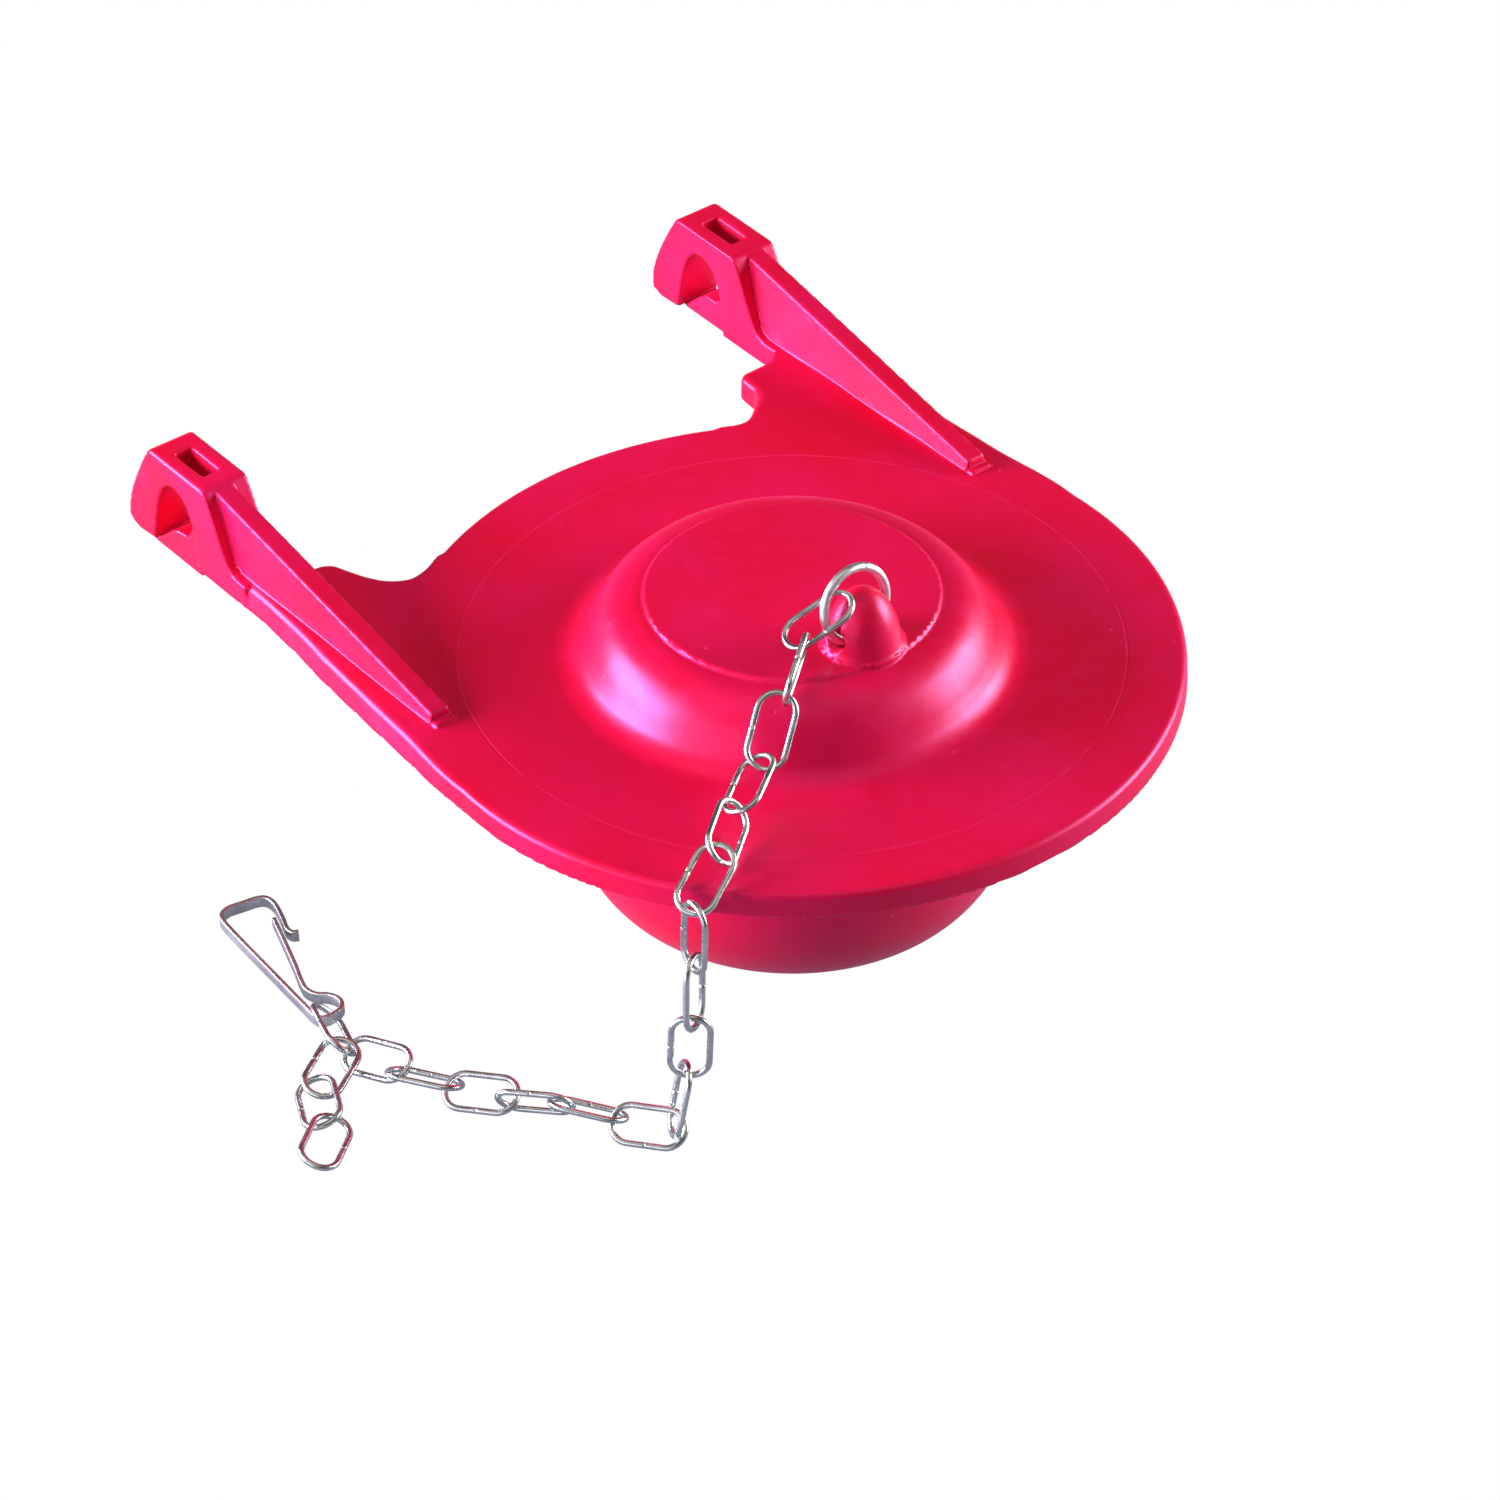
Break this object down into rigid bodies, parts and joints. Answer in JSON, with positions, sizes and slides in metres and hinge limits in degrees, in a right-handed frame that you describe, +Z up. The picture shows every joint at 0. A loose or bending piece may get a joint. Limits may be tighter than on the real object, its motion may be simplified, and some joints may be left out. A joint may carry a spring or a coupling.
{
  "type": "toilet flapper",
  "caption": "Rubber flush-valve flapper with a sealing disc, hollow bulb, two pierced ears on arms, a wire ring, an oval-link chain and a bent spring clip.",
  "frame": {"origin": "on the axis of the disc and bulb, at the level of the bulb's flat end, which the part stands on", "axes": "+Z up along the disc's axis, +Y towards the ears, +X to the right seen from behind the disc"},
  "size_m": [0.1135, 0.1109, 0.0482],
  "materials": {
    "rubber": "satin",
    "steel": "polished wire"
  },
  "bodies": {
    "flapper": {"flapper": "rubber"},
    "chain_ring": {"chain_ring": "steel"},
    "chain_link_01": {"chain_link_01": "steel"},
    "chain_link_02": {"chain_link_02": "steel"},
    "chain_link_03": {"chain_link_03": "steel"},
    "chain_link_04": {"chain_link_04": "steel"},
    "chain_link_05": {"chain_link_05": "steel"},
    "chain_link_06": {"chain_link_06": "steel"},
    "chain_link_07": {"chain_link_07": "steel"},
    "chain_link_08": {"chain_link_08": "steel"},
    "chain_link_09": {"chain_link_09": "steel"},
    "chain_link_10": {"chain_link_10": "steel"},
    "chain_link_11": {"chain_link_11": "steel"},
    "chain_link_12": {"chain_link_12": "steel"},
    "chain_link_13": {"chain_link_13": "steel"},
    "chain_link_14": {"chain_link_14": "steel"},
    "chain_link_15": {"chain_link_15": "steel"},
    "chain_link_16": {"chain_link_16": "steel"},
    "chain_link_17": {"chain_link_17": "steel"},
    "chain_link_18": {"chain_link_18": "steel"},
    "chain_link_19": {"chain_link_19": "steel"},
    "chain_link_20": {"chain_link_20": "steel"},
    "chain_clip": {"chain_clip": "steel"}
  },
  "joints": [
    {"name": "ring_swing", "type": "hinge", "parent": "flapper", "child": "chain_ring", "pos_m": [0, -0.01185, 0.0405], "axis": [1, 0, 0], "range_deg": [-24, 0]},
    {"name": "link_01_swing", "type": "hinge", "parent": "chain_ring", "child": "chain_link_01", "pos_m": [-0.00336, -0.01188, 0.04546], "axis": [0.3678, 0.9299, 0], "range_deg": [0, 20]},
    {"name": "link_02_swing", "type": "hinge", "parent": "chain_link_01", "child": "chain_link_02", "pos_m": [-0.00804, -0.01083, 0.04227], "axis": [-0.5623, 0.8269, 0], "range_deg": [0, 20]},
    {"name": "link_03_swing", "type": "hinge", "parent": "chain_link_02", "child": "chain_link_03", "pos_m": [-0.01332, -0.01525, 0.03987], "axis": [-0.5, 0.866, 0], "range_deg": [0, 10]},
    {"name": "link_04_swing", "type": "hinge", "parent": "chain_link_03", "child": "chain_link_04", "pos_m": [-0.0177, -0.01713, 0.03459], "axis": [-0.5358, 0.8443, 0], "range_deg": [0, 20]},
    {"name": "link_05_swing", "type": "hinge", "parent": "chain_link_04", "child": "chain_link_05", "pos_m": [-0.02383, -0.02071, 0.03366], "axis": [-0.6063, 0.7952, 0], "range_deg": [0, 16]},
    {"name": "link_06_swing", "type": "hinge", "parent": "chain_link_05", "child": "chain_link_06", "pos_m": [-0.02937, -0.02501, 0.03327], "axis": [-0.3834, 0.9236, 0], "range_deg": [0, 20]},
    {"name": "link_07_swing", "type": "hinge", "parent": "chain_link_06", "child": "chain_link_07", "pos_m": [-0.03526, -0.02774, 0.03053], "axis": [1, 0, 0], "range_deg": [-20, 10]},
    {"name": "link_08_swing", "type": "hinge", "parent": "chain_link_07", "child": "chain_link_08", "pos_m": [-0.03496, -0.0276, 0.02322], "axis": [0, 1, 0], "range_deg": [-14, 20]},
    {"name": "link_09_swing", "type": "hinge", "parent": "chain_link_08", "child": "chain_link_09", "pos_m": [-0.03589, -0.02845, 0.01617], "axis": [1, 0, 0], "range_deg": [-20, 20]},
    {"name": "link_10_swing", "type": "hinge", "parent": "chain_link_09", "child": "chain_link_10", "pos_m": [-0.03566, -0.02721, 0.00889], "axis": [0, 1, 0], "range_deg": [-20, 20]},
    {"name": "link_11_swing", "type": "hinge", "parent": "chain_link_10", "child": "chain_link_11", "pos_m": [-0.03767, -0.02811, 0.00192], "axis": [0.8302, 0.5575, 0], "range_deg": [0, 20]},
    {"name": "link_12_swing", "type": "hinge", "parent": "chain_link_11", "child": "chain_link_12", "pos_m": [-0.04102, -0.02208, 0.00142], "axis": [0, 0, 1], "range_deg": [-12, 20]},
    {"name": "link_13_swing", "type": "hinge", "parent": "chain_link_12", "child": "chain_link_13", "pos_m": [-0.0449, -0.01724, 0.00259], "axis": [0.8043, 0.5942, 0], "range_deg": [0, 16]},
    {"name": "link_14_swing", "type": "hinge", "parent": "chain_link_13", "child": "chain_link_14", "pos_m": [-0.04846, -0.0126, 0.00209], "axis": [0, 0, 1], "range_deg": [-20, 20]},
    {"name": "link_15_swing", "type": "hinge", "parent": "chain_link_14", "child": "chain_link_15", "pos_m": [-0.05149, -0.00699, 0.0014], "axis": [0.8488, 0.5287, 0], "range_deg": [0, 20]},
    {"name": "link_16_swing", "type": "hinge", "parent": "chain_link_15", "child": "chain_link_16", "pos_m": [-0.0546, -0.0015, 0.00197], "axis": [0, 0, 1], "range_deg": [-14, 20]},
    {"name": "link_17_swing", "type": "hinge", "parent": "chain_link_16", "child": "chain_link_17", "pos_m": [-0.05697, 0.00481, 0.00154], "axis": [0, 0, 1], "range_deg": [-20, 8]},
    {"name": "link_18_swing", "type": "hinge", "parent": "chain_link_17", "child": "chain_link_18", "pos_m": [-0.05683, 0.00485, 0.00215], "axis": [-0.4932, 0.8699, 0], "range_deg": [0, 20]},
    {"name": "link_19_swing", "type": "hinge", "parent": "chain_link_18", "child": "chain_link_19", "pos_m": [-0.06274, 0.00253, 0.00116], "axis": [0, 0, 1], "range_deg": [-20, 20]},
    {"name": "link_20_swing", "type": "hinge", "parent": "chain_link_19", "child": "chain_link_20", "pos_m": [-0.06478, -0.00345, 0.00148], "axis": [-0.6157, 0.788, 0], "range_deg": [0, 20]},
    {"name": "clip_swing", "type": "hinge", "parent": "chain_link_17", "child": "chain_clip", "pos_m": [-0.05489, 0.01117, 0.0016], "axis": [0, 0, 1], "range_deg": [-20, 8]}
  ]
}
